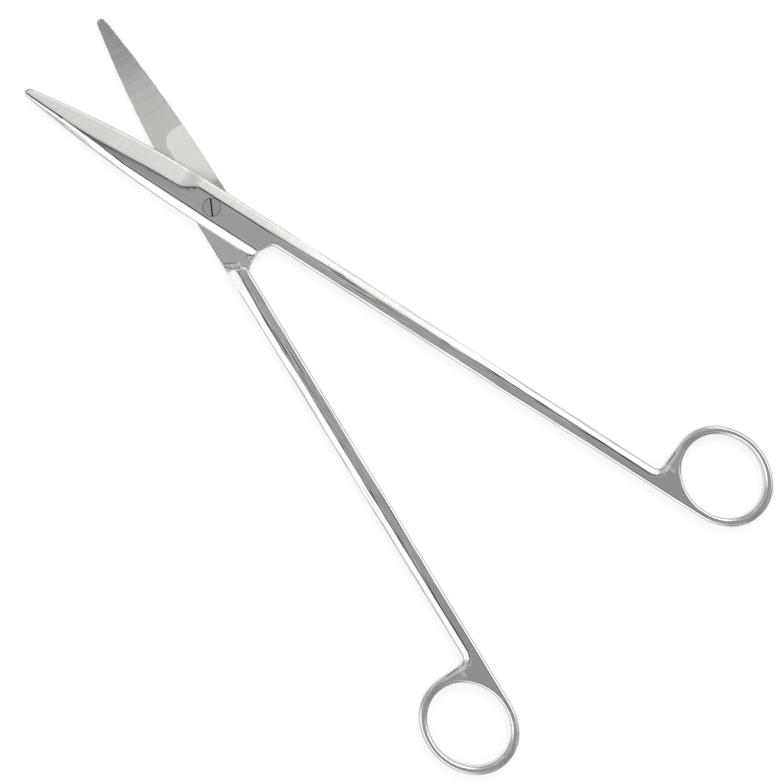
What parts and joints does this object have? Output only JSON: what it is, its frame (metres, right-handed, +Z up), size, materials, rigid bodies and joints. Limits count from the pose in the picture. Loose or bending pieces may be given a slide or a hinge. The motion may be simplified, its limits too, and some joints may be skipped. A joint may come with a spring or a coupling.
{
  "type": "dissecting scissors",
  "caption": "Long straight surgical scissors with blunt rounded tips, slotted pivot screw and oval finger rings, polished steel with satin blades.",
  "frame": {"origin": "on the pivot screw's axis, in the plane that the scissors lie on", "axes": "+X midway between the open blades, from the pivot towards the tips; +Z up, along the screw, from the rear half's outer face to the front half's"},
  "size_m": [0.2406, 0.1316, 0.005],
  "materials": {
    "front_steel": "mirror polished, satin ground blade",
    "rear_steel": "mirror polished, satin ground blade",
    "screw_steel": "polished"
  },
  "bodies": {
    "rear": {"rear_half": "rear_steel", "pivot_screw": "screw_steel"},
    "front": {"front_half": "front_steel"}
  },
  "joints": [
    {"name": "pivot", "type": "hinge", "parent": "rear", "child": "front", "pos_m": [0, 0, 0], "axis": [0, 0, 1], "range_deg": [-26.4, 110]}
  ]
}
